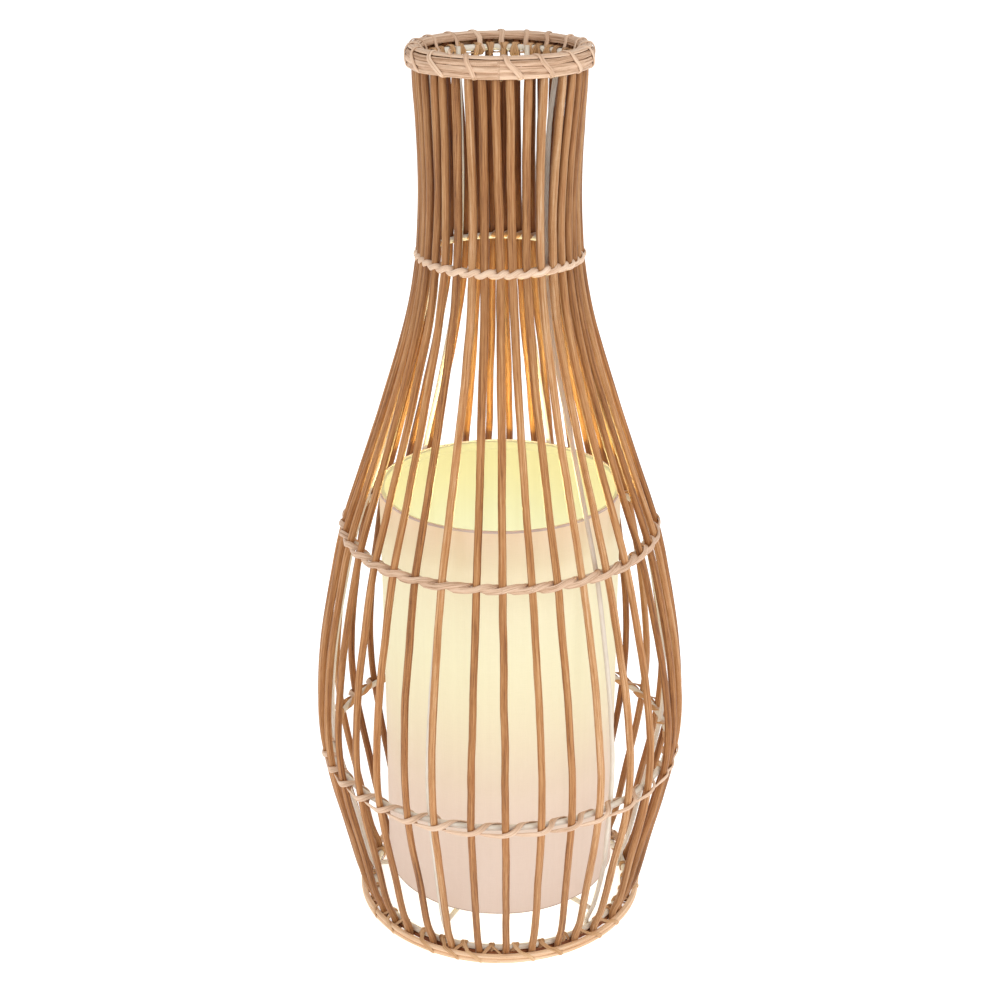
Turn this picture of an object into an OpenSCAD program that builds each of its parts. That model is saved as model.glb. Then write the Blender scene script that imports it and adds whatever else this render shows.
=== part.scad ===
// Rattan cage lamp: a bottle shaped cage of upright reeds on a welded wire frame,
// bound with split cane, round a lit cylindrical fabric shade on a short stem.
// Origin: centre of the base on the floor, +Z up, front is -Y. Millimetres.

/* [Reed cage] */
// Number of upright reeds round the cage
rod_count = 36; // [36]
// Diameter of one reed
rod_d = 4.8; // [4.2:0.1:4.8]
// Height of the reeds' upper ends, under the rim capping
rod_top = 595.2; // [594.5:0.1:595.3]

/* [Wire frame] */
// Diameter of the wire in the five frame rings
ring_wire_d = 4.0; // [3.4:0.1:4.0]
// Diameter of the upright wires
upright_d = 3.2; // [2.8:0.1:3.3]
// Diameter of the six arms that carry the stem
arm_d = 3.2; // [2.8:0.1:3.2]
// Height of the arms' centre line
arm_z = 20; // [19.6:0.1:20]

/* [Cane hoops and bindings] */
// Radial thickness of the half round hoops at rim and base
hoop_t = 3.2; // [2.6:0.1:3.2]
// Thickness of the split cane used for lashing
cane_t = 1.0; // [0.7:0.1:1.0]
// Width of the split cane used for lashing
cane_w = 3.4; // [2.4:0.2:3.4]
// Height of the twined strip round neck, shoulder and belly
twine_h = 4.6; // [3.6:0.2:4.8]

/* [Shade] */
// Outer radius of the fabric drum
shade_r = 80.2; // [79.2:0.1:80.4]
// Wall of the drum, cloth on its stiff lining
shade_t = 1.2; // [0.8:0.1:1.2]
// Height of the drum's lower edge
shade_z = 26.3; // [26.3:0.1:27]
// Height of the drum itself
shade_h = 286; // [276:1:286]

/* [Stem and bulb] */
// Height of the lamp holder's underside
holder_z = 144; // [130:1:144]
// Radius of the bulb's globe
globe_r = 30; // [28:0.5:30]

/* [Hidden] */
$fn = 96;

rod_a0 = 1;             // the front reed stands one degree right of the front
rod_pitch = 360 / rod_count;
wire_a0 = 37;           // first upright wire, the others every 60 degrees
eps = 0.1;              // space between bound pieces

// Centre line of a reed: [height, distance from the axis]
knots = [
    [1.6, 95.0], [9, 95.5], [17, 98.9], [25, 101.7], [64, 110.2], [95, 117.6], [121, 122.3],
    [142, 124.3], [164, 124.2], [204, 120.1], [245, 112.7], [283, 104.2], [321, 91.6],
    [368, 75.7], [415, 61.2], [443, 54.3], [468, 50.6], [508, 48.2], [549, 49.2], [575, 50.6], [596, 51.3]
];
kn = len(knots);

function kslope(i) = let(a = max(i - 1, 0), b = min(i + 1, kn - 1))
    (knots[b][1] - knots[a][1]) / (knots[b][0] - knots[a][0]);
function kidx(z, i = 0) = (i >= kn - 2 || z < knots[i + 1][0]) ? i : kidx(z, i + 1);
// distance of the reed's centre line from the axis at height z
function rc(z) = let(i = kidx(z), h = knots[i + 1][0] - knots[i][0], t = (z - knots[i][0]) / h)
    (2*t*t*t - 3*t*t + 1) * knots[i][1] + (t*t*t - 2*t*t + t) * h * kslope(i)
    + (3*t*t - 2*t*t*t) * knots[i + 1][1] + (t*t*t - t*t) * h * kslope(i + 1);
function slope(z) = rc(z + 0.5) - rc(z - 0.5);
function stretch(z) = sqrt(1 + slope(z) * slope(z));

// points of a round bar that follows the cage's profile, moved inward by off
function bar_points(a, zs, off, rad, sides) = [
    for (z = zs) for (i = [0:sides - 1])
        let(u = 360 * i / sides, m = slope(z), q = stretch(z),
            r = rc(z) - off * q + rad * cos(u) / q,
            zz = z - rad * cos(u) * m / q,
            b = rad * sin(u))
        [r * sin(a) + b * cos(a), -r * cos(a) + b * sin(a), zz]
];
function bar_faces(n, s) = concat(
    [for (j = [0:n - 2]) for (i = [0:s - 1]) [j*s + i, (j+1)*s + (i+1)%s, j*s + (i+1)%s]],
    [for (j = [0:n - 2]) for (i = [0:s - 1]) [j*s + i, (j+1)*s + i, (j+1)*s + (i+1)%s]],
    [[for (i = [0:s - 1]) i]],
    [[for (i = [s - 1:-1:0]) (n-1)*s + i]]
);
module bar(a, zs, off, d, sides) {
    polyhedron(points = bar_points(a, zs, off, d / 2, sides), faces = bar_faces(len(zs), sides));
}

// heights at which a reed has a section, closer where it bends more
rod_zs = [1.6, 9, 17, 27, 62, 95, 124, 150, 180, 215, 283, 321, 385, 425, 452, 480, 515, 555, rod_top];
wire_zs = [3.0, 9, 17, 27, 62, 95, 124, 150, 180, 215, 283, 321, 385, 425, 452, 480, 515, 555, 590];

wire_off = rod_d / 2 + ring_wire_d + upright_d / 2 - 0.1;   // welded 0.2 mm into the rings

// colours
c_reed = [0.72, 0.49, 0.31];
c_cane = [0.90, 0.72, 0.55];
c_white = [0.90, 0.88, 0.83];
c_shade = [0.98, 0.90, 0.80];
c_zinc = [0.75, 0.76, 0.78];
c_brass = [0.86, 0.70, 0.38];
c_black = [0.12, 0.12, 0.12];
c_porcelain = [0.93, 0.92, 0.88];

function polar(r, a) = [r * sin(a), -r * cos(a), 0];

// a ring of round wire
module wire_ring(z, r, d) translate([0, 0, z]) rotate_extrude($fn = 144) translate([r, 0]) circle(d = d, $fn = 32);
function ring_r(z) = rc(z) - (rod_d / 2 + ring_wire_d / 2 + 0.06) * stretch(z);

// a half round hoop: flat inner face at r, outer corners eased
module hoop(z, r, t, h) rotate_extrude($fn = 144)
    polygon([[r, z], [r + t - 0.9, z], [r + t, z + 0.9], [r + t, z + h - 0.9], [r + t - 0.9, z + h], [r, z + h]]);

// one closed lashing loop in the plane through the axis at angle a
module loop(a, r1, r2, z1, z2, w, t) rotate([0, 0, a - 90]) rotate([90, 0, 0]) translate([0, 0, -w / 2])
    linear_extrude(w) difference() {
        translate([r1, z1]) square([r2 - r1, z2 - z1]);
        translate([r1 + t, z1 + t]) square([r2 - r1 - 2 * t, z2 - z1 - 2 * t]);
    }

// angle between a and the nearest upright wire
function wire_gap(a) = let(d = (((a - wire_a0) % 60) + 60) % 60) min(d, 60 - d);

// ---- cage ----
module rattan_rods() color(c_reed)
    for (k = [0:rod_count - 1]) bar(rod_a0 + k * rod_pitch, rod_zs, 0, rod_d, 6);

rim_r = rc(590) + rod_d / 2 + 0.25;
module rim_hoop_lower() color(c_cane) hoop(584.4, rim_r, hoop_t, 5.4);
module rim_hoop_upper() color(c_cane) hoop(590.0, rim_r, hoop_t, 5.4);
module rim_capping() color(c_cane) translate([0, 0, 595.6]) difference() {
    cylinder(r = rim_r + hoop_t, h = 1.8, $fn = 144);
    translate([0, 0, -1]) cylinder(r = 47.2, h = 4, $fn = 144);
}
module rim_lashing() color(c_cane)
    for (k = [0:17]) loop(rod_a0 + rod_pitch * (2 * k + 0.5),
        ring_r(588) - ring_wire_d / 2 - eps - cane_t, rim_r + hoop_t + eps + cane_t,
        584.4 - eps - cane_t, 597.4 + eps + cane_t, cane_w, cane_t);

// cane turns round the top ring, one in each gap that no lashing or upright wire takes
module rim_binding() color(c_cane)
    for (k = [0:rod_count - 1]) let(a = rod_a0 + rod_pitch * (k + 0.5))
        if (k % 2 != 0 && wire_gap(a) > 3.2) loop(a, ring_r(588) - ring_wire_d / 2 - eps - cane_t,
            ring_r(588) + ring_wire_d / 2 + eps + cane_t, 588 - ring_wire_d / 2 - eps - cane_t,
            588 + ring_wire_d / 2 + eps + cane_t, 1.2, cane_t);

// twined binding: the strip outside the reeds, and a cane turn round the ring in each free gap
module twined(z) {
    m = slope(z); q = stretch(z); h = twine_h / 2;
    ro = rc(z) + rod_d / 2 * q + 0.15;
    rin = ring_r(z) - ring_wire_d / 2 - eps - cane_t;
    union() {
        rotate_extrude($fn = 144) polygon([[ro - m*h, z - h], [ro - m*h + 1.5, z - h], [ro + m*h + 1.5, z + h], [ro + m*h, z + h]]);
        for (k = [0:rod_count - 1]) let(a = rod_a0 + rod_pitch * (k + 0.5))
            if (wire_gap(a) > 3.2) loop(a, rin, ro + 1.2, z - ring_wire_d / 2 - eps - cane_t, z + ring_wire_d / 2 + eps + cane_t, 1.2, cane_t);
    }
}
module neck_binding() color(c_cane) twined(468);
module shoulder_binding() color(c_cane) twined(283);
module belly_binding() color(c_cane) twined(121);

base_r = rc(5) + rod_d / 2 + 0.3;
base_angles = [for (k = [0:17]) rod_a0 + rod_pitch * (2 * k + 0.5)];
module base_hoop_lower() color(c_cane) difference() {
    hoop(0, base_r, hoop_t, 3.2);
    for (a = base_angles) rotate([0, 0, a]) translate([-cane_w / 2 - 0.3, -base_r - 6, -1]) cube([cane_w + 0.6, 12, 1 + 0.15 + cane_t + eps]);
}
module base_hoop_upper() color(c_cane) hoop(3.3, base_r, hoop_t, 3.2);
// hoop inside the reeds' feet, under the base ring
module base_hoop_inner() color(c_reed) rotate_extrude($fn = 144) let(r = rc(3) - rod_d / 2 - 0.2, t = hoop_t)
    polygon([[r, 1.35], [r, 4.35], [r - t + 0.9, 4.35], [r - t, 3.5], [r - t, 2.2], [r - t + 0.9, 1.35]]);
module base_lashing() color(c_cane)
    for (a = base_angles) loop(a, ring_r(6.5) - ring_wire_d / 2 - eps - cane_t, base_r + hoop_t + eps + cane_t,
        0.15, 6.5 + ring_wire_d / 2 + eps + cane_t, cane_w, cane_t);

// ---- frame ----
module frame_ring_top() color(c_white) wire_ring(588, ring_r(588), ring_wire_d);
module frame_ring_neck() color(c_white) wire_ring(468, ring_r(468), ring_wire_d);
module frame_ring_shoulder() color(c_white) wire_ring(283, ring_r(283), ring_wire_d);
module frame_ring_belly() color(c_white) wire_ring(121, ring_r(121), ring_wire_d);
module frame_ring_base() color(c_white) wire_ring(6.5, ring_r(6.5), ring_wire_d);
module frame_uprights() color(c_white)
    for (k = [0:5]) bar(wire_a0 + 60 * k, wire_zs, wire_off, upright_d, 8);

hub_r = 23;
hub_z = arm_z + arm_d / 2;                  // underside of the plate
arm_end = rc(arm_z) - wire_off * stretch(arm_z) - upright_d / 2 + 0.25;
module frame_arms() color(c_white)
    for (k = [0:5]) rotate([0, 0, wire_a0 + 60 * k]) translate([0, -12.5, arm_z]) rotate([90, 0, 0])
        cylinder(d = arm_d, h = arm_end - 12.5, $fn = 32);
module hub_plate() color(c_white) translate([0, 0, hub_z - 0.1]) difference() {
    cylinder(r = hub_r, h = 2.1);
    translate([0, 0, -1]) cylinder(r = 5.2, h = 5);
}

// ---- shade ----
module shade_drum() color(c_shade) translate([0, 0, shade_z]) difference() {
    cylinder(r = shade_r, h = shade_h, $fn = 144);
    translate([0, 0, -1]) cylinder(r = shade_r - shade_t, h = shade_h + 2, $fn = 144);
}
sring_r = shade_r - shade_t - 1.3;
module shade_ring_top() color(c_white) wire_ring(shade_z + shade_h - 2.5, sring_r, 2.4);
module shade_ring_bottom() color(c_white) wire_ring(shade_z + 2.5, sring_r, 2.4);
fit_z = hub_z + 2.1;
module shade_fitter() color(c_white) union() {
    translate([0, 0, fit_z]) difference() {
        cylinder(r = 16, h = 1.5);
        translate([0, 0, -1]) cylinder(r = 5.2, h = 4);
    }
    for (k = [0:2]) rotate([0, 0, 67 + 120 * k]) translate([0, -12.2, fit_z + 1.4]) rotate([90 - 2.8, 0, 0])
        cylinder(d = 2.6, h = sring_r - 12.2, $fn = 32);
}

// ---- stem ----
module stem_tube() color(c_zinc) difference() {
    translate([0, 0, 13]) cylinder(r = 5, h = holder_z + 8 - 13);
    translate([0, 0, 12]) cylinder(r = 4.1, h = holder_z + 8);
}
module cord_bushing() color(c_black) difference() {
    union() {
        translate([0, 0, 11.2]) cylinder(r = 5.6, h = 1.7);
        translate([0, 0, 11.2]) cylinder(r = 4.05, h = 10);
    }
    translate([0, 0, 10]) cylinder(r = 3.25, h = 14);
}
module hexnut(z, af, h) translate([0, 0, z]) difference() {
    cylinder(d = af / cos(30), h = h, $fn = 6);
    translate([0, 0, -1]) cylinder(r = 5.05, h = h + 2);
}
module washer(z, r, h) translate([0, 0, z]) difference() {
    cylinder(r = r, h = h);
    translate([0, 0, -1]) cylinder(r = 5.2, h = h + 2);
}
module stem_washer_lower() color(c_zinc) washer(hub_z - 1.25, 10.5, 1.1);
module stem_nut_lower() color(c_zinc) hexnut(hub_z - 4.85, 16, 3.5);
module stem_washer_upper() color(c_zinc) washer(fit_z + 1.55, 10.5, 1.1);
module stem_nut_upper() color(c_zinc) hexnut(fit_z + 2.75, 16, 3.5);
cover_z = fit_z + 6.35;
module stem_cover() color(c_white) translate([0, 0, cover_z]) difference() {
    cylinder(r = 8, h = holder_z - 0.1 - cover_z);
    translate([0, 0, -1]) cylinder(r = 7.2, h = holder_z);
}

// ---- lamp holder, E27 ----
hz = holder_z;
module holder_cap() color(c_white) translate([0, 0, hz]) difference() {
    union() {
        cylinder(r1 = 14, r2 = 20, h = 8);
        translate([0, 0, 8]) cylinder(r = 20, h = 12);
    }
    translate([0, 0, -1]) cylinder(r = 5.05, h = 5);
    translate([0, 0, 3]) cylinder(r1 = 10, r2 = 18.3, h = 6);
    translate([0, 0, 8.9]) cylinder(r = 18.3, h = 12);
}
module holder_shell() color(c_white) translate([0, 0, hz + 20.1]) difference() {
    union() {
        cylinder(r = 20, h = 5);
        translate([0, 0, 5]) cylinder(r1 = 19, r2 = 18, h = 30);
    }
    translate([0, 0, -1]) cylinder(r = 16, h = 40);
}
module holder_insert() color(c_porcelain) translate([0, 0, hz + 14]) difference() {
    cylinder(r = 15.6, h = 13.5);
    translate([0, 0, -1]) cylinder(r = 2.2, h = 16);
    for (s = [-1, 1]) translate([0, s * 9, 5]) rotate([0, 90, 0]) cylinder(r = 1.75, h = 20);
}
module terminal_screws() color(c_brass)
    for (s = [-1, 1]) translate([0, s * 9, hz + 19]) rotate([0, 90, 0]) {
        translate([0, 0, 4]) cylinder(r = 1.6, h = 7.5, $fn = 24);
    }
module holder_screw_shell() color(c_brass) translate([0, 0, hz + 27.6]) difference() {
    cylinder(r = 14.2, h = 22);
    translate([0, 0, -1]) cylinder(r = 13.5, h = 24);
}
module holder_centre_contact() color(c_brass) translate([0, 0, hz + 27.6]) union() {
    translate([-3, -3, 0]) cube([12, 6, 0.5]);
    cylinder(r = 3, h = 1.4, $fn = 32);
}
module holder_side_contact() color(c_brass) translate([-13.2, -2.5, hz + 27.6]) cube([4, 5, 0.6]);

// ---- bulb, turns and climbs as one piece ----
bz = hz + 29.3;
module bulb_contact() color(c_zinc) translate([0, 0, bz]) cylinder(r = 4.5, h = 0.9, $fn = 48);
module bulb_insulator() color(c_black) translate([0, 0, bz + 0.95]) cylinder(r1 = 5, r2 = 11.2, h = 3.6);
module bulb_screw_cap() color(c_zinc) translate([0, 0, bz + 4.6]) cylinder(r = 13.1, h = 19.4);
module bulb_housing() color([0.95, 0.95, 0.93]) translate([0, 0, bz + 24.1]) union() {
    cylinder(r1 = 14, r2 = 22, h = 15);
    translate([0, 0, 15]) cylinder(r1 = 22, r2 = 27.6, h = 17);
}
module bulb_globe() color([1, 0.96, 0.85]) translate([0, 0, bz + 56.2]) intersection() {
    translate([0, 0, sqrt(globe_r * globe_r - 27.4 * 27.4)]) sphere(r = globe_r, $fn = 96);
    cylinder(r = 40, h = 80);
}

rattan_rods();
rim_hoop_lower();
rim_hoop_upper();
rim_capping();
rim_lashing();
rim_binding();
neck_binding();
shoulder_binding();
belly_binding();
base_hoop_lower();
base_hoop_upper();
base_hoop_inner();
base_lashing();
frame_ring_top();
frame_ring_neck();
frame_ring_shoulder();
frame_ring_belly();
frame_ring_base();
frame_uprights();
frame_arms();
hub_plate();
shade_drum();
shade_ring_top();
shade_ring_bottom();
shade_fitter();
stem_tube();
stem_cover();
stem_washer_lower();
stem_nut_lower();
stem_washer_upper();
stem_nut_upper();
cord_bushing();
holder_cap();
holder_shell();
holder_insert();
holder_screw_shell();
holder_centre_contact();
holder_side_contact();
terminal_screws();
bulb_contact();
bulb_insulator();
bulb_screw_cap();
bulb_housing();
bulb_globe();
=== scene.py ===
"""Rattan cage lamp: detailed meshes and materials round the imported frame. Lengths in here are millimetres until a mesh is made."""
import math
import random
import bpy
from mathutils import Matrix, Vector, noise


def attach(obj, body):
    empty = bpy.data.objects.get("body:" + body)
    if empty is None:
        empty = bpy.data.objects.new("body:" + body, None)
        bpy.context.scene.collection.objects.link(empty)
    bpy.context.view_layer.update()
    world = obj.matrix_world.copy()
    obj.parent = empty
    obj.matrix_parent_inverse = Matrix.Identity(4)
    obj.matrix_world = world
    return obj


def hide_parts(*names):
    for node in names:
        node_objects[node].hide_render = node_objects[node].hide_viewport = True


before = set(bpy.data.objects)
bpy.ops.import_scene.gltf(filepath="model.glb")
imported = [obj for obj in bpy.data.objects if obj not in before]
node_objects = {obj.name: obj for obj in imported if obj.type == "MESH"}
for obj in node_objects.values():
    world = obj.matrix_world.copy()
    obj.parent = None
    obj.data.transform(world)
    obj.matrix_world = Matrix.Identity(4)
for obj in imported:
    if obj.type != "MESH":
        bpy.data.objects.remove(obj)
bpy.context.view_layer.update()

MM = 0.001

# ------------------------------------------------------------------ camera
cam_data = bpy.data.cameras.new("camera")
cam = bpy.data.objects.new("camera", cam_data)
bpy.context.scene.collection.objects.link(cam)
cam_data.sensor_width = 36.0
cam_data.lens = 62.3
cam_data.clip_start = 0.05
cam_data.clip_end = 50.0
cam.location = (0.0, -1.0594, 0.7508)
cam.rotation_euler = (math.radians(90.0 - 23.05), 0.0, 0.0)
bpy.context.scene.camera = cam
bpy.context.scene.view_settings.view_transform = "Standard"
bpy.context.scene.view_settings.look = "None"

# ------------------------------------------------------------------ profile of the cage, as in the CAD source
KNOTS = [
    (1.6, 95.0), (9, 95.5), (17, 98.9), (25, 101.7), (64, 110.2), (95, 117.6), (121, 122.3),
    (142, 124.3), (164, 124.2), (204, 120.1), (245, 112.7), (283, 104.2), (321, 91.6),
    (368, 75.7), (415, 61.2), (443, 54.3), (468, 50.6), (508, 48.2), (549, 49.2), (575, 50.6), (596, 51.3),
]


def _ks(i):
    a, b = max(i - 1, 0), min(i + 1, len(KNOTS) - 1)
    return (KNOTS[b][1] - KNOTS[a][1]) / (KNOTS[b][0] - KNOTS[a][0])


_SL = [_ks(i) for i in range(len(KNOTS))]


def rc(z):
    i = 0
    while i < len(KNOTS) - 2 and z >= KNOTS[i + 1][0]:
        i += 1
    z0, r0 = KNOTS[i]
    z1, r1 = KNOTS[i + 1]
    h = z1 - z0
    t = (z - z0) / h
    return ((2 * t**3 - 3 * t * t + 1) * r0 + (t**3 - 2 * t * t + t) * h * _SL[i]
            + (3 * t * t - 2 * t**3) * r1 + (t**3 - t * t) * h * _SL[i + 1])


def slope(z):
    return rc(z + 0.5) - rc(z - 0.5)


def stretch(z):
    return math.sqrt(1 + slope(z) ** 2)


def ring_r(z):
    return rc(z) - 4.46 * stretch(z)


def radial(a):
    """unit vector pointing outward at a degrees from the front, towards +X"""
    a = math.radians(a)
    return Vector((math.sin(a), -math.cos(a), 0.0))


def tangent(a):
    a = math.radians(a)
    return Vector((math.cos(a), math.sin(a), 0.0))


UP = Vector((0.0, 0.0, 1.0))


def at(r, a, z):
    return radial(a) * r + UP * z


def interp(xs, ys, x):
    """smooth interpolation through (xs, ys), monotone xs"""
    if x <= xs[0]:
        return ys[0]
    if x >= xs[-1]:
        return ys[-1]
    i = 0
    while x > xs[i + 1]:
        i += 1
    n = len(xs)

    def d(j):
        a, b = max(j - 1, 0), min(j + 1, n - 1)
        return (ys[b] - ys[a]) / (xs[b] - xs[a])

    h = xs[i + 1] - xs[i]
    t = (x - xs[i]) / h
    return ((2 * t**3 - 3 * t * t + 1) * ys[i] + (t**3 - 2 * t * t + t) * h * d(i)
            + (3 * t * t - 2 * t**3) * ys[i + 1] + (t**3 - t * t) * h * d(i + 1))


def lerp_table(xs, ys, x):
    if x <= xs[0]:
        return ys[0]
    if x >= xs[-1]:
        return ys[-1]
    i = 0
    while x > xs[i + 1]:
        i += 1
    t = (x - xs[i]) / (xs[i + 1] - xs[i])
    return ys[i] + (ys[i + 1] - ys[i]) * t


def n1(x, y=0.0, z=0.0):
    """smooth noise, about -1 to 1"""
    return noise.noise(Vector((x, y, z)), noise_basis="PERLIN_ORIGINAL") * 1.6


# ------------------------------------------------------------------ mesh building
class Mesh:
    """gathers swept strands, each with its own straightened coordinates and its own random number"""

    def __init__(self):
        self.v, self.f, self.co, self.id, self.tone = [], [], [], [], []

    def sweep(self, pts, nrm, section, ident, closed=False, scale=None, start=0.0, cap=True, tone=0.0):
        """pts: centre line; nrm: the direction of the section's y at each point; section: list of (x, y)"""
        n, m = len(pts), 0 if callable(section) else len(section)
        base = len(self.v)
        s = start
        for i in range(n):
            if closed:
                t = pts[(i + 1) % n] - pts[(i - 1) % n]
            else:
                t = pts[min(i + 1, n - 1)] - pts[max(i - 1, 0)]
            t.normalize()
            y = nrm[i] - t * nrm[i].dot(t)
            y.normalize()
            x = t.cross(y)
            if i:
                s += (pts[i] - pts[i - 1]).length
            k = scale(i) if scale else (1.0, 1.0)
            sec = section(i) if callable(section) else section
            for (a, b) in sec:
                a2, b2 = a * k[0], b * k[1]
                self.v.append((pts[i] + x * a2 + y * b2) * MM)
                self.co.append((a2, b2, s))
                self.id.append(ident)
                self.tone.append(tone)
            m = len(sec)
        last = n if closed else n - 1
        for i in range(last):
            p, q = base + i * m, base + ((i + 1) % n) * m
            for j in range(m):
                k = (j + 1) % m
                self.f.append((p + j, p + k, q + k, q + j))
        if not closed and cap:
            self._cap(base, m, True)
            self._cap(base + (n - 1) * m, m, False)

    def _cap(self, base, m, flip):
        c = Vector((0, 0, 0))
        for j in range(m):
            c += Vector(self.v[base + j])
        c /= m
        co = [0.0, 0.0, self.co[base][2]]
        self.v.append(c)
        self.co.append(tuple(co))
        self.id.append(self.id[base])
        self.tone.append(self.tone[base])
        ci = len(self.v) - 1
        for j in range(m):
            k = (j + 1) % m
            self.f.append((base + k, base + j, ci) if flip else (base + j, base + k, ci))

    def piece(self, name, material, body, replaces=(), smooth_angle=50):
        me = bpy.data.meshes.new(name)
        me.from_pydata([tuple(v) for v in self.v], [], self.f)
        a = me.attributes.new("strand_co", "FLOAT_VECTOR", "POINT")
        a.data.foreach_set("vector", [c for v in self.co for c in v])
        a = me.attributes.new("strand_id", "FLOAT", "POINT")
        a.data.foreach_set("value", self.id)
        a = me.attributes.new("strand_tone", "FLOAT", "POINT")
        a.data.foreach_set("value", self.tone)
        me.update()
        ob = bpy.data.objects.new(name, me)
        bpy.context.scene.collection.objects.link(ob)
        finish_mesh(ob, smooth_angle)
        me.materials.append(material)
        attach(ob, body)
        if replaces:
            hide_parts(*replaces)
        return ob


def finish_mesh(ob, angle):
    import bmesh
    bm = bmesh.new()
    bm.from_mesh(ob.data)
    bmesh.ops.recalc_face_normals(bm, faces=bm.faces)
    lim = math.radians(angle)
    for e in bm.edges:
        e.smooth = len(e.link_faces) != 2 or e.calc_face_angle(0.0) < lim
    for f in bm.faces:
        f.smooth = True
    bm.to_mesh(ob.data)
    bm.free()


def circle(r, n=12):
    return [(r * math.cos(2 * math.pi * i / n), r * math.sin(2 * math.pi * i / n)) for i in range(n)]


def strip(w, t, crown=0.35, n=4):
    """flat split cane: flat inner face, slightly crowned outer face with eased edges; y is outward"""
    h = w / 2
    out = [(-h * 0.96, -t / 2), (-h, -t * 0.12)]
    for i in range(n + 1):
        u = -1 + 2 * i / n
        out.append((h * 0.90 * u, t / 2 - crown * t * (u * u) * 0.8))
    out += [(h, -t * 0.12), (h * 0.96, -t / 2)]
    # the sweep runs counter-clockwise round the section
    return out[::-1]


def half_round(w, t, n=7):
    """half round cane, flat face inward"""
    h = w / 2
    out = [(-h * 0.94, -t / 2)]
    for i in range(n + 1):
        u = math.pi * (1 - i / n)
        out.append((h * math.cos(u), -t / 2 + 0.18 * t + 0.82 * t * math.sin(u) ** 0.8))
    out.append((h * 0.94, -t / 2))
    return out[::-1]


# ------------------------------------------------------------------ materials
class Nodes:
    def __init__(self, name):
        self.mat = bpy.data.materials.new(name)
        self.mat.use_nodes = True
        self.t = self.mat.node_tree
        self.t.nodes.clear()
        self.out = self.add("ShaderNodeOutputMaterial")
        self.bsdf = self.add("ShaderNodeBsdfPrincipled")
        self.link(self.bsdf.outputs[0], self.out.inputs["Surface"])

    def add(self, kind, **props):
        n = self.t.nodes.new(kind)
        for k, v in props.items():
            setattr(n, k, v)
        return n

    def link(self, a, b):
        self.t.links.new(a, b)

    def math(self, op, a, b=None, clamp=False):
        n = self.add("ShaderNodeMath", operation=op, use_clamp=clamp)
        for i, x in enumerate((a, b)):
            if x is None:
                continue
            if isinstance(x, (int, float)):
                n.inputs[i].default_value = x
            else:
                self.link(x, n.inputs[i])
        return n.outputs[0]

    def vscale(self, vec, s):
        n = self.add("ShaderNodeVectorMath", operation="MULTIPLY")
        self.link(vec, n.inputs[0])
        n.inputs[1].default_value = s
        return n.outputs[0]

    def vadd(self, vec, other):
        n = self.add("ShaderNodeVectorMath", operation="ADD")
        self.link(vec, n.inputs[0])
        if isinstance(other, tuple):
            n.inputs[1].default_value = other
        else:
            self.link(other, n.inputs[1])
        return n.outputs[0]

    def noise(self, vec, scale, detail=3.0, rough=0.5, distortion=0.0):
        n = self.add("ShaderNodeTexNoise")
        self.link(vec, n.inputs["Vector"])
        n.inputs["Scale"].default_value = scale
        n.inputs["Detail"].default_value = detail
        n.inputs["Roughness"].default_value = rough
        n.inputs["Distortion"].default_value = distortion
        return n.outputs["Fac"]

    def ramp(self, fac, stops, interpolation="LINEAR"):
        n = self.add("ShaderNodeValToRGB")
        cr = n.color_ramp
        cr.interpolation = interpolation
        while len(cr.elements) < len(stops):
            cr.elements.new(0.5)
        for e, (p, c) in zip(cr.elements, stops):
            e.position = p
            e.color = (*c, 1.0) if len(c) == 3 else c
        self.link(fac, n.inputs[0])
        return n.outputs["Color"]

    def mix(self, fac, a, b, blend="MIX"):
        n = self.add("ShaderNodeMix", data_type="RGBA", blend_type=blend)
        for sock, x in ((n.inputs[0], fac), (n.inputs[6], a), (n.inputs[7], b)):
            if isinstance(x, (int, float)):
                sock.default_value = x
            elif isinstance(x, tuple):
                sock.default_value = (*x, 1.0) if len(x) == 3 else x
            else:
                self.link(x, sock)
        return n.outputs[2]

    def maprange(self, x, a, b, c, d, clamp=True):
        n = self.add("ShaderNodeMapRange", clamp=clamp)
        self.link(x, n.inputs[0])
        for i, v in enumerate((a, b, c, d)):
            n.inputs[i + 1].default_value = v
        return n.outputs[0]

    def bump(self, height, strength, distance):
        n = self.add("ShaderNodeBump")
        n.inputs["Strength"].default_value = strength
        n.inputs["Distance"].default_value = distance
        self.link(height, n.inputs["Height"])
        self.link(n.outputs["Normal"], self.bsdf.inputs["Normal"])

    def attr(self, name):
        n = self.add("ShaderNodeAttribute", attribute_name=name)
        return n


def lin(r, g, b):
    """sRGB 0-255 to linear"""
    return tuple((c / 255 / 12.92) if c / 255 <= 0.04045 else ((c / 255 + 0.055) / 1.055) ** 2.4 for c in (r, g, b))


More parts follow.
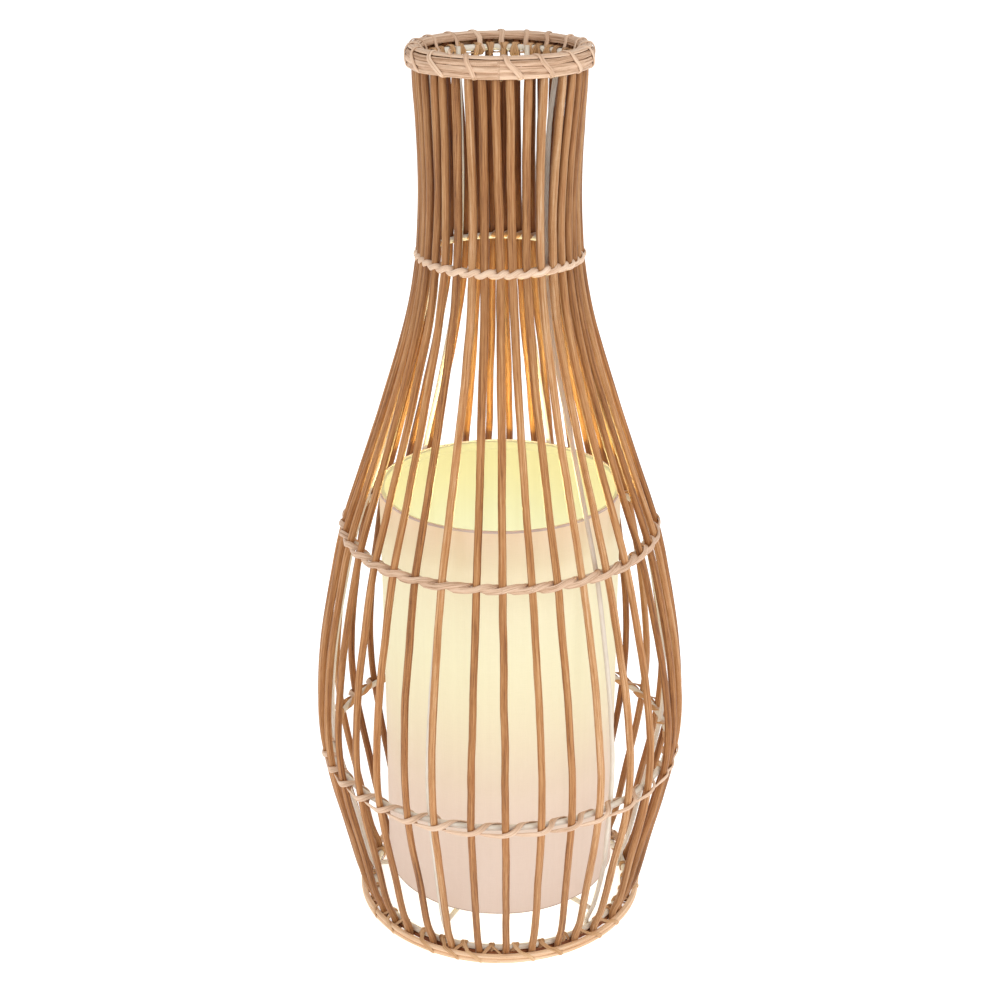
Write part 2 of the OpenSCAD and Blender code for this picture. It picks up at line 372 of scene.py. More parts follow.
def strand_material(name, dark, mid, light, patch, grain_w=1.0, rough=0.55, bump=0.35, warm=0.5, streak=0.5, spec=0.35,
                    own_tone=0.34, inner=None, lit_side=None):
    """cane or reed: long grain that follows the strand, a tone of its own for each strand, paler and redder patches"""
    m = Nodes(name)
    co = m.attr("strand_co").outputs["Vector"]
    ident = m.attr("strand_id").outputs["Fac"]
    off = m.add("ShaderNodeCombineXYZ")
    m.link(m.math("MULTIPLY", ident, 37.0), off.inputs[0])
    m.link(m.math("MULTIPLY", ident, 91.0), off.inputs[1])
    m.link(m.math("MULTIPLY", ident, 613.0), off.inputs[2])
    p = m.vadd(co, off.outputs[0])
    grain = m.noise(m.vscale(p, (1.0, 1.0, 0.022)), 0.95 * grain_w, 5.0, 0.66)
    fine = m.noise(m.vscale(p, (1.0, 1.0, 0.040)), 3.0 * grain_w, 3.0, 0.6)
    broad = m.noise(m.vscale(p, (0.35, 0.35, 0.030)), 1.0, 3.0, 0.55)
    tone = m.noise(m.vscale(p, (0.05, 0.05, 0.010)), 1.0, 2.0, 0.5)
    own = m.add("ShaderNodeTexWhiteNoise", noise_dimensions="1D")
    m.link(m.math("MULTIPLY", ident, 57.31), own.inputs["W"])
    a = m.math("ADD", m.math("MULTIPLY", grain, 1.45), m.math("MULTIPLY", fine, 0.75))
    a = m.math("ADD", a, m.math("MULTIPLY", tone, 0.30))
    a = m.math("ADD", a, m.math("MULTIPLY", m.math("SUBTRACT", own.outputs["Value"], 0.5), own_tone))
    a = m.math("ADD", a, m.attr("strand_tone").outputs["Fac"])
    a = m.maprange(a, 0.845, 1.655, 0.0, 1.0)
    col = m.ramp(a, [(0.0, dark), (0.40, mid), (0.78, light), (1.0, patch)])
    redder = m.mix(m.maprange(broad, 0.50, 0.72, 0.0, warm), col, m.mix(1.0, col, (1.03, 0.86, 0.78), "MULTIPLY"))
    thin = m.maprange(fine, 0.58, 0.72, 0.0, streak)
    col2 = m.mix(thin, redder, m.mix(1.0, redder, (0.62, 0.52, 0.44), "MULTIPLY"))
    if inner:
        # painted shade: the side that faces the axis is drawn darker towards the neck, where the inside of the cage
        # lies in shade
        s3 = m.add("ShaderNodeSeparateXYZ")
        m.link(co, s3.inputs[0])
        s4 = m.add("ShaderNodeSeparateXYZ")
        m.link(m.add("ShaderNodeTexCoord").outputs["Object"], s4.inputs[0])
        side = m.maprange(s3.outputs["Y"], -1.2, 1.3, 1.0, 0.0)
        high = m.maprange(s4.outputs["Z"], 0.445, 0.505, 0.22, 1.0)
        fac = m.math("MULTIPLY", side, high)
        col2 = m.mix(fac, col2, m.mix(1.0, col2, inner, "MULTIPLY"))
        # painted shade: the reeds are drawn darker and greyer at the neck and at the foot, where the cage lies in shade
        darker_ends = m.math("ADD", m.maprange(s4.outputs["Z"], 0.40, 0.47, 0.0, 1.0), m.maprange(s4.outputs["Z"], 0.11, 0.04, 0.0, 1.0))
        col2 = m.mix(darker_ends, col2, m.mix(1.0, col2, (0.83, 0.84, 0.86), "MULTIPLY"))
    if lit_side:
        # painted lamplight: faces turned to the axis, all but the rim's, are tinted amber as if lit warm by the lamp
        place = m.add("ShaderNodeTexCoord").outputs["Object"]
        s5 = m.add("ShaderNodeSeparateXYZ")
        m.link(place, s5.inputs[0])
        below = m.maprange(s5.outputs["Z"], 0.55, 0.50, 0.0, 1.0)
        flat = m.vscale(place, (1.0, 1.0, 0.0))
        out = m.add("ShaderNodeVectorMath", operation="NORMALIZE")
        m.link(flat, out.inputs[0])
        dot = m.add("ShaderNodeVectorMath", operation="DOT_PRODUCT")
        m.link(out.outputs[0], dot.inputs[0])
        m.link(m.add("ShaderNodeNewGeometry").outputs["Normal"], dot.inputs[1])
        turned = m.math("MULTIPLY", m.maprange(dot.outputs["Value"], -0.15, -0.55, 0.0, 1.0), below)
        col2 = m.mix(turned, col2, m.mix(1.0, col2, lit_side, "MULTIPLY"))
    m.link(col2, m.bsdf.inputs["Base Color"])
    m.link(m.maprange(grain, 0.3, 0.7, rough - 0.08, rough + 0.12), m.bsdf.inputs["Roughness"])
    m.bsdf.inputs["Specular IOR Level"].default_value = spec
    h = m.math("ADD", m.math("MULTIPLY", grain, 0.6), m.math("MULTIPLY", fine, 0.5))
    m.bump(h, bump, 0.0004)
    return m


# reeds: inner= is painted shade on their axis-facing side at the neck
REED = strand_material("reed_grain", lin(98, 54, 22), lin(167, 112, 62), lin(201, 150, 100), lin(224, 187, 148),
                       rough=0.50, bump=0.6, warm=0.40, streak=0.65, inner=(0.52, 0.37, 0.25))
REED_MAT = REED.mat
# split cane: lit_side= is painted warm lamplight on the faces turned to the axis
CANE_MAT = strand_material("split_cane_skin", lin(156, 116, 84), lin(215, 181, 152), lin(231, 204, 179), lin(241, 220, 199),
                           grain_w=1.25, rough=0.50, bump=0.5, warm=0.22, streak=0.45, lit_side=(0.86, 0.66, 0.40)).mat
CANE_GOLD_MAT = strand_material("split_cane_tied", lin(136, 96, 58), lin(196, 152, 108), lin(216, 178, 136), lin(230, 198, 160),
                                grain_w=1.25, rough=0.55, bump=0.5, warm=0.25, streak=0.5).mat
HOOP_MAT = strand_material("hoop_cane_skin", lin(170, 120, 80), lin(224, 184, 144), lin(238, 206, 172), lin(246, 222, 194),
                           grain_w=0.9, rough=0.48, bump=0.4, warm=0.25, streak=0.45).mat
# inner base hoop: the same reed, drawn darker than the uprights as painted shade under the base ring
INNER_HOOP_SHADED_MAT = strand_material("inner_hoop_reed", lin(70, 34, 14), lin(112, 62, 30), lin(140, 84, 46), lin(160, 108, 68),
                            rough=0.6, bump=0.45, warm=0.5, streak=0.6).mat


def object_material(name, base, vary, rough, metallic=0.0, bump=0.1, bump_scale=900.0, scale=40.0, rvar=0.08, spec=None,
                    coat=0.0, stretch_v=(1, 1, 1)):
    """a finish laid by place on the object: base tone, soft tonal drift, fine surface grain"""
    m = Nodes(name)
    tc = m.add("ShaderNodeTexCoord").outputs["Object"]
    v = m.vscale(tc, stretch_v)
    big = m.noise(v, scale, 3.0, 0.55)
    small = m.noise(v, bump_scale, 2.0, 0.5)
    col = m.mix(m.maprange(big, 0.3, 0.7, 0.0, 1.0), base, vary)
    col = m.mix(m.maprange(small, 0.35, 0.65, 0.0, 0.10), col, m.mix(1.0, col, (0.8, 0.8, 0.8), "MULTIPLY"))
    m.link(col, m.bsdf.inputs["Base Color"])
    m.link(m.maprange(big, 0.3, 0.7, rough - rvar, rough + rvar), m.bsdf.inputs["Roughness"])
    m.bsdf.inputs["Metallic"].default_value = metallic
    if spec is not None:
        m.bsdf.inputs["Specular IOR Level"].default_value = spec
    if coat:
        m.bsdf.inputs["Coat Weight"].default_value = coat
        m.bsdf.inputs["Coat Roughness"].default_value = 0.12
    m.bump(small, bump, 0.0003)
    return m


PAINT = object_material("frame_white_paint", lin(226, 216, 198), lin(238, 230, 216), 0.42, bump=0.25, bump_scale=700, scale=55,
                        coat=0.15).mat
ZINC = object_material("zinc_plate", (0.62, 0.63, 0.65), (0.74, 0.75, 0.77), 0.32, metallic=1.0, bump=0.2, bump_scale=1600,
                       scale=120).mat
BRASS = object_material("brass_plain", (0.78, 0.56, 0.24), (0.88, 0.68, 0.34), 0.30, metallic=1.0, bump=0.15,
                        bump_scale=1500, scale=150).mat
BLACK = object_material("bushing_moulded", (0.02, 0.02, 0.021), (0.035, 0.035, 0.036), 0.55, bump=0.3, bump_scale=1200).mat
HOLDER = object_material("holder_moulded", lin(236, 233, 225), lin(243, 240, 232), 0.38, bump=0.18, bump_scale=1100).mat
CERAMIC = object_material("holder_glaze", lin(232, 228, 216), lin(242, 238, 228), 0.22, bump=0.08, bump_scale=500, coat=0.5).mat
BULB_PLASTIC = object_material("bulb_housing_plastic", lin(238, 236, 230), lin(244, 242, 236), 0.40, bump=0.15,
                               bump_scale=900).mat
INSULATION = object_material("bulb_insulation_glass", (0.03, 0.025, 0.03), (0.07, 0.05, 0.06), 0.2, bump=0.1).mat
CAP_METAL = object_material("bulb_cap_nickel", (0.66, 0.65, 0.62), (0.78, 0.77, 0.74), 0.28, metallic=1.0, bump=0.15,
                            bump_scale=1500, scale=140).mat

# diffuser of the lit bulb
_m = Nodes("bulb_diffuser_lit")
_tc = _m.add("ShaderNodeTexCoord").outputs["Object"]
_sep = _m.add("ShaderNodeSeparateXYZ")
_m.link(_tc, _sep.inputs[0])
_g = _m.maprange(_sep.outputs["Z"], 0.222, 0.272, 0.0, 1.0)
_c = _m.ramp(_g, [(0.0, (1.0, 0.74, 0.42)), (0.35, (1.0, 0.83, 0.55)), (1.0, (1.0, 0.90, 0.68))])
_n = _m.noise(_tc, 260.0, 2.0, 0.5)
_m.link(_m.mix(_m.maprange(_n, 0.3, 0.7, 0.0, 0.06), _c, (1.0, 0.95, 0.85)), _m.bsdf.inputs["Emission Color"])
_m.bsdf.inputs["Emission Strength"].default_value = 5.0
_m.bsdf.inputs["Base Color"].default_value = (*lin(245, 240, 228), 1.0)
_m.bsdf.inputs["Roughness"].default_value = 0.35
_m.bump(_n, 0.06, 0.0003)
DIFFUSER = _m.mat


def shade_material(name, stops_out, base, strength, weave=True):
    """laminated cloth lit from inside: glow by height, fine weave, faint upright bands where the lining varies"""
    m = Nodes(name)
    tc = m.add("ShaderNodeTexCoord").outputs["Object"]
    sep = m.add("ShaderNodeSeparateXYZ")
    m.link(tc, sep.inputs[0])
    co = m.attr("strand_co").outputs["Vector"]     # x: round the drum, y: across the wall, z: height
    s2 = m.add("ShaderNodeSeparateXYZ")
    m.link(co, s2.inputs[0])
    glow = m.maprange(sep.outputs["Z"], 0.0263, 0.3123, 0.0, 1.0)
    wob = m.noise(m.vscale(co, (0.02, 0.0, 0.006)), 1.0, 3.0, 0.5)
    g2 = m.math("ADD", glow, m.math("MULTIPLY", m.math("SUBTRACT", wob, 0.5), 0.05))
    col = m.ramp(g2, stops_out, "B_SPLINE")
    bands = m.noise(m.vscale(co, (0.16, 0.0, 0.0015)), 1.0, 4.0, 0.6)
    cloud = m.noise(m.vscale(co, (0.05, 0.0, 0.04)), 1.0, 4.0, 0.6)
    col = m.mix(m.maprange(bands, 0.35, 0.68, 0.0, 0.9), col, m.mix(1.0, col, (0.955, 0.935, 0.91), "MULTIPLY"))
    col = m.mix(m.maprange(cloud, 0.4, 0.65, 0.0, 0.4), col, m.mix(1.0, col, (0.985, 0.975, 0.955), "MULTIPLY"))
    m.link(col, m.bsdf.inputs["Emission Color"])
    m.bsdf.inputs["Emission Strength"].default_value = strength
    # weave: warp and weft threads, about 22 to the centimetre
    if weave:
        wx = m.math("SINE", m.math("MULTIPLY", s2.outputs["X"], 2 * math.pi * 2.2))
        wz = m.math("SINE", m.math("MULTIPLY", s2.outputs["Z"], 2 * math.pi * 2.2))
        w = m.math("MULTIPLY", wx, wz)
        slub = m.noise(m.vscale(co, (2.4, 0.0, 0.10)), 1.0, 3.0, 0.6)
        slub2 = m.noise(m.vscale(co, (0.10, 0.0, 2.4)), 1.0, 3.0, 0.6)
        h = m.math("ADD", m.math("MULTIPLY", w, 0.35), m.math("ADD", slub, slub2))
        m.bump(h, 0.25, 0.0002)
        basec = m.mix(m.maprange(m.math("ADD", slub, slub2), 0.8, 1.25, 0.0, 1.0), base, tuple(c * 0.92 for c in base))
        m.link(basec, m.bsdf.inputs["Base Color"])
    m.bsdf.inputs["Roughness"].default_value = 0.85
    m.bsdf.inputs["Specular IOR Level"].default_value = 0.15
    m.bsdf.inputs["Sheen Weight"].default_value = 0.15
    return m


# ------------------------------------------------------------------ reeds
rng = random.Random(871)
ZL = [12.0, 121.0, 283.0, 468.0, 590.0]          # heights at which the reeds' places are set
BASE_A = {31: -50.5, 32: -41, 33: -29, 34: -20.3, 35: -8.7, 0: 2.5, 1: 13.3, 2: 24.5, 3: 32.7, 4: 43.3, 5: 56}
BELLY_A = {30: -59.5, 31: -49.3, 32: -40, 33: -29.3, 34: -20.3, 35: -8.7, 0: 1.7, 1: 12.7, 2: 22.2, 3: 31.8, 4: 43.5, 5: 53.5, 6: 65}
SHOUL_A = {29: -70, 30: -60, 31: -49.5, 32: -40, 33: -30.5, 34: -20.3, 35: -8, 0: 1, 1: 11, 2: 20, 3: 29.7, 4: 40.3, 5: 50, 6: 60,
           7: 68.5, 8: 77}
NECK_A = {30: -61.5, 31: -51, 32: -42, 33: -31.2, 34: -19.2, 35: -10.5, 0: 0, 1: 8.8, 2: 19, 3: 29.7, 4: 39.5, 5: 48, 6: 57, 7: 64,
          8: 73.5}
TOP_A = {31: -48, 32: -41, 33: -30.5, 34: -21, 35: -12, 0: -3, 1: 6.5, 2: 18.5, 3: 29.8, 4: 46.0, 5: 56.5, 6: 66.5, 7: 75.5, 8: 84}
# the reeds at the back stand in the gaps between the front ones: offsets in degrees at shoulder, neck and top
BACK_D = {22: (0.0, -1.3, 1.0), 21: (0.5, -4.8, 2.5), 20: (-6.0, -5.0, -2.8), 19: (-5.7, -5.5, -3.2), 18: (-4.8, -4.5, -3.2),
          17: (-5.4, -5.0, -2.6), 16: (-2.6, -5.8, -4.3), 15: (-2.0, -6.0, -1.9), 14: (-1.0, -3.0, -2.0)}
# paler and darker reeds
TONE = {34: 0.07, 3: 0.13, 2: 0.06, 1: -0.10, 0: -0.06, 35: -0.02, 33: 0.02, 4: 0.08, 32: -0.04}
ROW = []
for k in range(36):
    nom = 1 + 10 * k
    nom = nom - 360 if nom > 180 else nom
    row = []
    for d, spread in ((BASE_A, 1.0), (BELLY_A, 1.0), (SHOUL_A, 0.9), (NECK_A, 1.1), (TOP_A, 1.6)):
        j = rng.uniform(-spread, spread)
        row.append(d[k] - nom if k in d else j)
    if k in BACK_D:
        row[2:5] = list(BACK_D[k])
    ROW.append((nom, row, [rng.uniform(-100, 100) for _ in range(4)]))


def reed_angle(k, z):
    nom, row, seed = ROW[k % 36]
    a = nom + interp(ZL, row, z)
    r = rc(min(max(z, 2), 595))
    a += math.degrees((0.35 * n1(z / 38.0, seed[0]) + 0.12 * n1(z / 13.0, seed[1])) / r)
    return a


def reed_radius(k, z):
    seed = ROW[k % 36][2]
    thick = 2.46 + 0.20 * min(max((z - 330.0) / 120.0, 0.0), 1.0)
    r = thick * (1 + 0.05 * n1(z / 150.0, seed[2]) + 0.02 * n1(z / 16.0, seed[3]))
    for zr in (121.0, 283.0, 468.0, 588.0):         # drawn thinner where the binding grips it
        r -= (r - 2.40) * math.exp(-((z - zr) / 6.0) ** 2)
    if z < 14:
        r *= 1 + 0.05 * (14 - z) / 14
    return r


def build_reeds():
    m = Mesh()
    ns = 14
    for k in range(36):
        seed = ROW[k][2]
        top = 595.0 + 0.25 * n1(seed[0])
        zs, z = [], 1.7
        while z < top - 2.0:
            zs.append(z)
            z += 5.2
        zs.append(top)
        pts, nrm = [], []
        for z in zs:
            a = reed_angle(k, z)
            q = slope(z)
            rr = rc(z) + 0.16 * n1(z / 45.0, seed[2] + 5)
            pts.append(at(rr, a, z))
            nrm.append((radial(a) - UP * q).normalized())
        knots = [rng.uniform(20, 570) for _ in range(rng.choice((1, 1, 2)))]
        flat = rng.uniform(0.94, 1.0)

        def sec(i, k=k, zs=zs, knots=knots, seed=seed, flat=flat):
            z = zs[i]
            r = reed_radius(k, z)
            for kz in knots:                       # the reed's own joints: a slight swelling
                r += 0.13 * math.exp(-((z - kz) / 5.0) ** 2)
            out = []
            for j in range(ns):
                u = 2 * math.pi * j / ns
                w = r * (1 + 0.025 * n1(1.3 * math.cos(u) + seed[0], 1.3 * math.sin(u), z / 60.0))
                out.append((w * math.cos(u), w * math.sin(u) * flat))
            return out

        m.sweep(pts, nrm, sec, (k * 0.6180339) % 1.0, start=rng.uniform(0, 40), tone=TONE.get(k, 0.0))
    return m.piece("reed_uprights", REED_MAT, "lamp", ["rattan_rods"])


build_reeds()

# ------------------------------------------------------------------ painted wire uprights, slightly bent by the binding
WZ = [3.0, 20.0, 60.0, 93.0, 132.0, 213.0, 283.0, 370.0, 432.0, 468.0, 509.0, 560.0, 590.0]
WA = {37: [43.5, 43.8, 44.2, 41.1, 39.1, 38.6, 39.0, 40.0, 39.8, 41.0, 43.4, 45.4, 51.0],
      -23: [-24.2, -24.4, -24.3, -23.6, -23.4, -23.0, -22.1, -21.6, -21.6, -22.5, -25.0, -25.0, -24.0]}


def wire_angle(a0, z):
    return interp(WZ, WA[a0], z) if a0 in WA else a0 + 0.5 * n1(z / 120.0, a0)


def build_wires():
    m = Mesh()
    for i, a0 in enumerate((37, 97, 157, 217, 277, -23)):
        pts, nrm = [], []
        z = 3.0
        zs = []
        while z < 588:
            zs.append(z)
            z += 7.0
        zs.append(590.0)
        for z in zs:
            a = wire_angle(a0, z)
            q = slope(z)
            pts.append(at(rc(z) - 7.9 * math.sqrt(1 + q * q), a, z))
            nrm.append((radial(a) - UP * q).normalized())
        m.sweep(pts, nrm, circle(1.6, 12), 0.13 * i)
    ob = m.piece("frame_upright_wires", PAINT, "lamp", ["frame_uprights"])
    return ob


build_wires()


def build_arms():
    """straight wires from the hub out to each upright, each to where its upright stands"""
    m = Mesh()
    r0 = 12.5
    r1 = rc(20.0) - 7.9 * stretch(20.0) - 1.35
    for i, a0 in enumerate((37, 97, 157, 217, 277, -23)):
        end = at(r1, wire_angle(a0, 20.0), 20.0)
        start = at(r0, a0, 20.0)
        pts = [start + (end - start) * (j / 12) for j in range(13)]
        m.sweep(pts, [UP.copy()] * 13, circle(1.75, 14), 0.21 * i)
    return m.piece("frame_arm_wires", PAINT, "lamp", ["frame_arms"])


build_arms()


# ------------------------------------------------------------------ twined bindings
def build_twine(name, z0, width, thick, rise, node, seed, open_ring):
    """two flat canes twined round every reed and over the wire ring behind it"""
    m = Mesh()
    q = math.sqrt(1 + slope(z0) ** 2)
    mm = slope(z0)
    ang = [reed_angle(k, z0) for k in range(36)]
    for i in range(1, 36):
        while ang[i] < ang[i - 1]:
            ang[i] += 360
    # taus: distance in reeds from the reed that this cane passes in front of; phi: place round the ring, 0 front, 90 top
    if open_ring:       # the cane hooks over the ring soon after its reed, so the ring shows in the gap
        TAU = [-0.88, -0.70, -0.55, -0.25, 0.0, 0.20, 0.38, 0.52, 0.75, 1.0, 1.12]
        PHI = [-92.0, -62.0, -46.0, -36.0, -8.0, 34.0, 84.0, 128.0, 168.0, 205.0, 268.0]
    else:               # the cane runs on in front of the ring to the next reed
        TAU = [-0.90, -0.74, -0.55, -0.22, 0.0, 0.22, 0.50, 0.74, 0.90, 1.0, 1.10]
        PHI = [-100.0, -60.0, -42.0, -32.0, -2.0, 34.0, 58.0, 84.0, 130.0, 185.0, 260.0]
    lo_t, hi_t = TAU[0], TAU[-1]
    rr = ring_r(z0)

    def angle_at(t):
        k = math.floor(t)
        f = t - k
        a = ang[k % 36] + 360 * (k // 36)
        b = ang[(k + 1) % 36] + 360 * ((k + 1) // 36)
        return a + (b - a) * f

    sec = strip(width, thick, 0.5, 4)
    step = 0.05
    for s in (0, 1):
        pts, nrm, sc = [], [], []
        n = int(round(36 / step))
        for i in range(n):
            t = s + i * step
            tau = (t - s) % 2.0
            if tau > hi_t:
                tau -= 2.0
            ph = lerp_table(TAU, PHI, tau)
            ph0, ph1 = lerp_table(TAU, PHI, tau - 0.04), lerp_table(TAU, PHI, tau + 0.04)
            ph = (ph0 + ph + ph1) / 3 if lo_t + 0.05 < tau < hi_t - 0.05 else ph
            c, sn = math.cos(math.radians(ph)), math.sin(math.radians(ph))
            pn = math.radians(ph * min(1.0, abs(ph) / 100.0) ** 1.2 if abs(ph) < 100 else ph)
            cn, sn2 = math.cos(pn), math.sin(pn)
            a = angle_at(t)
            # distance from the ring's centre, normal to the reeds (e) and along them (u)
            if c > 0:
                # in the gaps the front run draws in a little towards the ring
                pull = 0.9 * math.sin(math.pi * min(max(-tau, 0), 1)) ** 2
                e = 0.4 + (6.75 + thick / 2 - pull) * c ** 0.5
            else:
                wb = 3.2 * math.exp(-((((a - 37 + 30) % 60) - 30) * rr / 100 / 3.2) ** 2)
                e = 0.4 + (2.6 + thick / 2 + wb) * c * 1.0
            u = rise * sn * (1.0 if sn > 0 else 0.9)
            u += 0.28 * n1(t * 0.9, seed + s * 9) + 0.5 * n1(a / 70.0, seed + 30)
            P = at(rr, a, z0) + radial(a) * (e / q + u * mm / q) + UP * (-e * mm / q + u / q)
            N = radial(a) * (cn / q + sn2 * mm / q) + UP * (-cn * mm / q + sn2 / q)
            pts.append(P)
            nrm.append(N)
            sc.append((1.0 + 0.10 * n1(t * 1.7, seed + s * 5 + 2), 1.0 + 0.08 * n1(t * 1.3, seed + s * 5 + 7)))
        # relax the corners
        for _ in range(3):
            q2 = [(pts[i - 1] + pts[i] * 2 + pts[(i + 1) % n]) / 4 for i in range(n)]
            pts = q2
            q3 = [(nrm[i - 1] + nrm[i] * 2 + nrm[(i + 1) % n]) / 4 for i in range(n)]
            nrm = q3
        m.sweep(pts, nrm, sec, 0.31 * (s + 1) + seed * 0.07, closed=True, scale=lambda i, sc=sc: sc[i])
    return m.piece(name, CANE_MAT, "lamp", [node])


build_twine("neck_twine", 468.0, 3.7, 1.15, 2.1, "neck_binding", 1.7, False)
build_twine("shoulder_twine", 283.0, 4.2, 1.15, 2.3, "shoulder_binding", 4.1, False)
build_twine("belly_twine", 121.0, 4.0, 1.05, 2.8, "belly_binding", 7.9, True)


# ------------------------------------------------------------------ rim
def ring_strip(m, r, z, tilt, w, t, ident, seed, wob=0.25, sec=None, a0=0.0, n=220, zwob=None, tone=0.0):
    """a closed flat cane round the rim; tilt is the lean of its outward face from the horizontal, degrees"""
    pts, nrm, sc = [], [], []
    zw = wob if zwob is None else zwob
    for i in range(n):
        a = a0 + 360 * i / n
        ca, sa = math.cos(math.radians(a)), math.sin(math.radians(a))
        dr = wob * n1(1.6 * ca + seed, 1.6 * sa) + 0.4 * wob * n1(6 * ca, 6 * sa, seed)
        dz = zw * n1(1.6 * ca, 1.6 * sa + seed, 9.1) + 0.5 * zw * n1(5 * ca, 5 * sa, seed + 3)
        tl = math.radians(tilt + 6 * n1(1.2 * ca, 1.2 * sa, seed + 20))
        pts.append(at(r + dr, a, z + dz))
        nrm.append(radial(a) * math.cos(tl) + UP * math.sin(tl))
        sc.append((1 + 0.07 * n1(2.2 * ca, 2.2 * sa, seed + 40), 1.0))
    m.sweep(pts, nrm, sec or strip(w, t, 0.55, 5), ident, closed=True, scale=lambda i, sc=sc: sc[i], tone=tone)


def build_rim():
    lo = Mesh()
    ring_strip(lo, 55.9, 586.3, -10, 3.7, 1.3, 0.11, 3.0, tone=-0.13)
    lo.piece("rim_strip_lower", CANE_MAT, "lamp", ["rim_hoop_lower"])
    up = Mesh()
    ring_strip(up, 56.4, 589.95, 2, 3.8, 1.3, 0.27, 8.0, zwob=0.3, tone=-0.13)
    ring_strip(up, 55.9, 593.6, 20, 3.6, 1.3, 0.45, 12.0, zwob=0.4, tone=-0.13)
    up.piece("rim_strips_outer", CANE_MAT, "lamp", ["rim_hoop_upper"])
    cap = Mesh()
    ring_strip(cap, 53.6, 596.6, 72, 3.2, 1.1, 0.61, 15.0, wob=0.3, tone=-0.13)
    ring_strip(cap, 50.2, 596.75, 104, 3.4, 1.1, 0.77, 19.0, wob=0.25, tone=-0.13)
    ring_strip(cap, 48.0, 594.3, 176, 3.6, 1.1, 0.89, 23.0, wob=0.25, tone=-0.13)
    cap.piece("rim_capping_strips", CANE_MAT, "lamp", ["rim_capping"])


build_rim()


def loop_path(corners, steps=7):
    """closed smooth path through corner points given as (r, a, z, normal angle in the radial plane)"""
    n = len(corners)
    pts, nrm = [], []
    for i in range(n):
        p0, p1, p2, p3 = (corners[(i + j - 1) % n] for j in range(4))
        A = [at(p[0], p[1], p[2]) for p in (p0, p1, p2, p3)]
        for j in range(steps):
            t = j / steps
            a = -0.5 * t**3 + t * t - 0.5 * t
            b = 1.5 * t**3 - 2.5 * t * t + 1
            c = -1.5 * t**3 + 2 * t * t + 0.5 * t
            d = 0.5 * t**3 - 0.5 * t * t
            pts.append(A[0] * a + A[1] * b + A[2] * c + A[3] * d)
            d1, d2 = p1[3], p2[3]
            while d2 - d1 > 180:
                d2 -= 360
            while d2 - d1 < -180:
                d2 += 360
            ph = math.radians(d1 + (d2 - d1) * t)
            aa = p1[1] + (p2[1] - p1[1]) * t
            nrm.append(radial(aa) * math.cos(ph) + UP * math.sin(ph))
    return pts, nrm


def build_rim_lashing():
    m = Mesh()
    r = random.Random(5)
    front = [-63.6, -42.6, -18.2, 7.8, 28.6, 52.3, 75.6]
    back = [96, 113, 130.5, 150.7, 167.3, 183, 205, 222, 241, 259, 277]
    for i, a in enumerate(front + back):
        slant = 7.0 + r.uniform(-2.5, 2.5)      # the outer run leans: top to the left, bottom to the right
        w = 3.0 + r.uniform(-0.3, 0.4)
        at_, ab = a - slant * 0.55, a + slant * 0.55
        ai = a - slant * 0.9 + r.uniform(-2, 2)
        c = [
            (57.0, ab, 586.2, -14), (57.5, a + 1.0, 589.9, 2), (57.0, at_ + 1.2, 594.0, 20), (54.9, at_, 597.2, 60),
            (51.8, at_ - 1.2, 597.8, 90), (48.6, at_ - 2.0, 596.8, 130), (46.9, ai, 594.0, 172), (45.6, ai, 590.3, 176),
            (44.4, ai - 1.5, 587.6, 182), (45.6, ai - 1.0, 585.4, 225), (48.2, a, 584.5, 268), (52.2, ab, 584.2, 272), (55.3, ab, 584.35, 300),
        ]
        pts, nrm = loop_path(c, 5)
        m.sweep(pts, nrm, strip(w, 0.75, 0.5, 4), 0.057 * i + 0.02, closed=True, tone=-0.08)
    # a loose end on the inside, left of the front
    e = [at(55.6, -31, 597.9), at(53.8, -33, 599.3), at(51.5, -34.5, 599.7), at(49.5, -35.5, 599.2)]
    pts, nrm = [], []
    for i in range(10):
        t = i / 9 * 3
        k = min(int(t), 2)
        f = t - k
        pts.append(e[k] * (1 - f) + e[k + 1] * f)
        nrm.append(UP.copy())
    m.sweep(pts, nrm, strip(1.5, 0.6, 0.4, 3), 0.93)
    m.piece("rim_lashing_cane", CANE_MAT, "lamp", ["rim_lashing"])


build_rim_lashing()


def build_rim_binding():
    """cane wound round the top ring and round each reed's upper end"""
    m = Mesh()
    r = random.Random(17)
    rr = ring_r(588)
    for k in range(36):
        a = reed_angle(k, 586)
        for j, (da, w) in enumerate(((-2.4, 3.2), (2.0, 2.7))):
            if j and r.random() < 0.25:
                continue
            aa = a + da + r.uniform(-0.5, 0.5)
            lean = r.uniform(1.5, 4.5) * (1 if j == 0 else -1)
            R = 2.0 + 0.45
            low = r.uniform(2.6, 5.2)
            c = [
                (rr + R + 0.2, aa, 588.2, 0), (rr + 1.6, aa + lean * 0.3, 590.5, 60), (rr - 1.2, aa + lean * 0.5, 590.6, 115),
                (rr - R - 0.1, aa + lean, 588.4, 180), (rr - R + 0.1, aa + lean * 1.4, 588 - low + 1.2, 190),
                (rr - 0.2, aa + lean * 1.2, 588 - low - 0.6, 262), (rr + R - 0.2, aa + lean * 0.4, 586.4, 320),
            ]
            pts, nrm = loop_path(c, 5)
            m.sweep(pts, nrm, strip(w, 0.8, 0.5, 4), r.random(), closed=True, tone=-0.12)
    m.piece("rim_ring_wraps", CANE_GOLD_MAT, "lamp", ["rim_binding"])


build_rim_binding()


